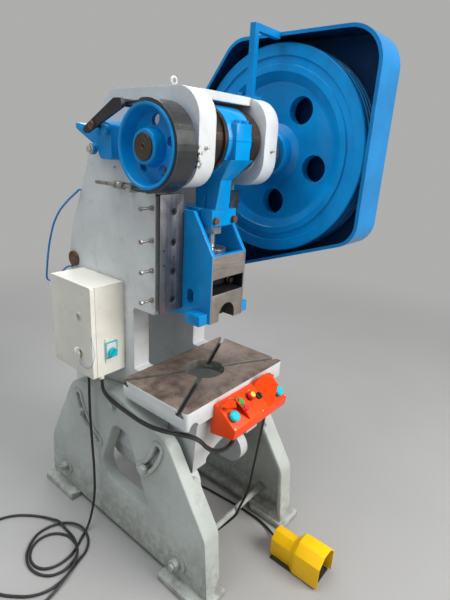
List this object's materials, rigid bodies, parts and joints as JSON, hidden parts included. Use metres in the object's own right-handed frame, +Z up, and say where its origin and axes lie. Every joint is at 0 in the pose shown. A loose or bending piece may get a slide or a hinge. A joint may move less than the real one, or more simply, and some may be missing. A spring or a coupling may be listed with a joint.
{
  "type": "mechanical stamping press",
  "caption": "Inclinable C-frame stamping press with eccentric shaft, open flywheel in a guard, band brake, slotted bed, two-hand control and foot switch.",
  "frame": {"origin": "centre of the anchor bolt pattern on the floor plane, under the press", "axes": "+Z up from the floor, -Y towards the operator at the front, +X towards the flywheel side"},
  "size_m": [1.246, 1.407, 1.9394],
  "materials": {
    "leg_paint": "gloss paint, worn",
    "frame_paint": "gloss paint, chipped",
    "blue_casting": "gloss paint",
    "blue_sheet": "gloss paint",
    "machined_steel": "machined, oiled",
    "cast_plate": "machined, greasy",
    "dark_steel": "black oxide",
    "bronze": "oiled",
    "beige_sheet": "powder coat",
    "orange_paint": "gloss paint",
    "yellow_paint": "gloss paint",
    "cyan_plastic": "smooth",
    "green_plastic": "smooth",
    "red_plastic": "smooth",
    "black_plastic": "satin",
    "cord_jacket": "matt",
    "switchgear": "satin"
  },
  "bodies": {
    "stand": {"leg_left": "leg_paint", "leg_right": "leg_paint", "tie_rods": "leg_paint", "leg_fasteners": "machined_steel", "foot_base": "black_plastic", "foot_hood": "yellow_paint", "pedal_pin": "machined_steel", "mains_cord": "cord_jacket", "mains_coil": "cord_jacket", "mains_plug": "red_plastic", "pedal_cord": "cord_jacket"},
    "frame": {"frame_casting": "frame_paint", "bed_table": "cast_plate", "lock_bolts": "machined_steel", "crank_bushes": "bronze", "gib_left": "machined_steel", "gib_right": "machined_steel", "gib_screws": "dark_steel", "gib_adjusters": "bronze", "flywheel_guard": "blue_sheet", "guard_brackets": "blue_sheet", "motor": "blue_casting", "motor_plate": "blue_sheet", "motor_hinge_shaft": "machined_steel", "v_belts": "cord_jacket", "electric_box": "beige_sheet", "box_switchgear": "switchgear", "station_housing": "orange_paint", "brake_bracket": "blue_casting", "brake_band": "dark_steel", "brake_lever": "dark_steel", "brake_tensioner": "machined_steel", "lifting_eye": "frame_paint", "station_lead_a": "cord_jacket", "station_lead_b": "cord_jacket", "lube_hose": "cord_jacket"},
    "crank": {"crankshaft": "machined_steel", "brake_drum": "blue_casting", "clutch_collar": "machined_steel"},
    "rod": {"connecting_rod": "blue_casting", "rod_cap": "blue_casting", "rod_bolts": "machined_steel", "ball_screw": "machined_steel", "lock_nut": "machined_steel"},
    "ram": {"ram": "blue_casting", "ball_seat": "machined_steel", "tool_clamp": "machined_steel"},
    "flywheel": {"flywheel": "blue_casting"},
    "motor_pulley": {"motor_pulley": "dark_steel"},
    "door": {"box_door": "beige_sheet"},
    "door_lock_top": {"door_lock_top": "dark_steel"},
    "door_lock_bottom": {"door_lock_bottom": "dark_steel"},
    "switch_knob": {"switch_knob": "cyan_plastic"},
    "palm_button_left": {"palm_button_left": "cyan_plastic"},
    "palm_button_right": {"palm_button_right": "cyan_plastic"},
    "green_button": {"green_button": "green_plastic"},
    "red_button": {"red_button": "red_plastic"},
    "stop_button": {"stop_button": "red_plastic"},
    "selector_switch": {"selector_switch": "black_plastic"},
    "pedal": {"pedal": "black_plastic"}
  },
  "joints": [
    {"name": "frame_incline", "type": "hinge", "parent": "stand", "child": "frame", "pos_m": [0, 0.02, 0.607], "axis": [-1, 0, 0], "range_deg": [0, 25], "deforming": ["mains_cord", "pedal_cord"]},
    {"name": "crank_turn", "type": "hinge", "parent": "frame", "child": "crank", "pos_m": [0, -0.195, 1.54], "axis": [1, 0, 0], "range_deg": [0, 90]},
    {"name": "rod_swing", "type": "hinge", "parent": "crank", "child": "rod", "pos_m": [0, -0.195, 1.57], "axis": [1, 0, 0], "range_deg": [-85.2, 0]},
    {"name": "ram_slide", "type": "slide", "parent": "frame", "child": "ram", "axis": [0, 0, 1], "range_m": [-0.0245, 0]},
    {"name": "flywheel_spin", "type": "hinge", "parent": "frame", "child": "flywheel", "pos_m": [0.38, -0.195, 1.54], "axis": [1, 0, 0], "continuous": true},
    {"name": "motor_pulley_spin", "type": "hinge", "parent": "frame", "child": "motor_pulley", "pos_m": [0.38, 0.53, 1.18], "axis": [1, 0, 0], "continuous": true},
    {"name": "box_door_hinge", "type": "hinge", "parent": "frame", "child": "door", "pos_m": [-0.332, 0.296, 0.9], "axis": [0, 0, -1], "range_deg": [0, 110]},
    {"name": "door_lock_top_turn", "type": "hinge", "parent": "door", "child": "door_lock_top", "pos_m": [-0.341, 0.112, 0.955], "axis": [1, 0, 0], "range_deg": [0, 90]},
    {"name": "door_lock_bottom_turn", "type": "hinge", "parent": "door", "child": "door_lock_bottom", "pos_m": [-0.341, 0.112, 0.82], "axis": [1, 0, 0], "range_deg": [0, 90]},
    {"name": "switch_turn", "type": "hinge", "parent": "frame", "child": "switch_knob", "pos_m": [-0.262, 0.035, 0.817], "axis": [0, 1, 0], "range_deg": [0, 90]},
    {"name": "selector_turn", "type": "hinge", "parent": "frame", "child": "selector_switch", "pos_m": [0.044, -0.42299, 0.69671], "axis": [0, -0.6321, 0.7749], "range_deg": [0, 45]},
    {"name": "palm_left_press", "type": "slide", "parent": "frame", "child": "palm_button_left", "axis": [0, 0.6321, -0.7749], "range_m": [0, 0.006], "stiffness_N_per_m": 800, "springref_m": -0.004},
    {"name": "palm_right_press", "type": "slide", "parent": "frame", "child": "palm_button_right", "axis": [0, 0.6321, -0.7749], "range_m": [0, 0.006], "stiffness_N_per_m": 800, "springref_m": -0.004},
    {"name": "green_press", "type": "slide", "parent": "frame", "child": "green_button", "axis": [0, 0.6321, -0.7749], "range_m": [0, 0.004], "stiffness_N_per_m": 600, "springref_m": -0.003},
    {"name": "red_press", "type": "slide", "parent": "frame", "child": "red_button", "axis": [0, 0.6321, -0.7749], "range_m": [0, 0.004], "stiffness_N_per_m": 600, "springref_m": -0.003},
    {"name": "stop_press", "type": "slide", "parent": "frame", "child": "stop_button", "axis": [0, 0.6321, -0.7749], "range_m": [0, 0.005]},
    {"name": "pedal_press", "type": "hinge", "parent": "stand", "child": "pedal", "pos_m": [0.105, -0.6, 0.052], "axis": [1, 0, 0], "range_deg": [0, 9], "stiffness_Nm_per_rad": 15, "springref_deg": -5.73}
  ],
  "couplings": [
    {"joint": "rod_swing", "follows": "crank_turn", "ratio": -0.9459},
    {"joint": "ram_slide", "follows": "crank_turn", "m_per_rad": -0.01556},
    {"joint": "motor_pulley_spin", "follows": "flywheel_spin", "ratio": 6.0323}
  ]
}
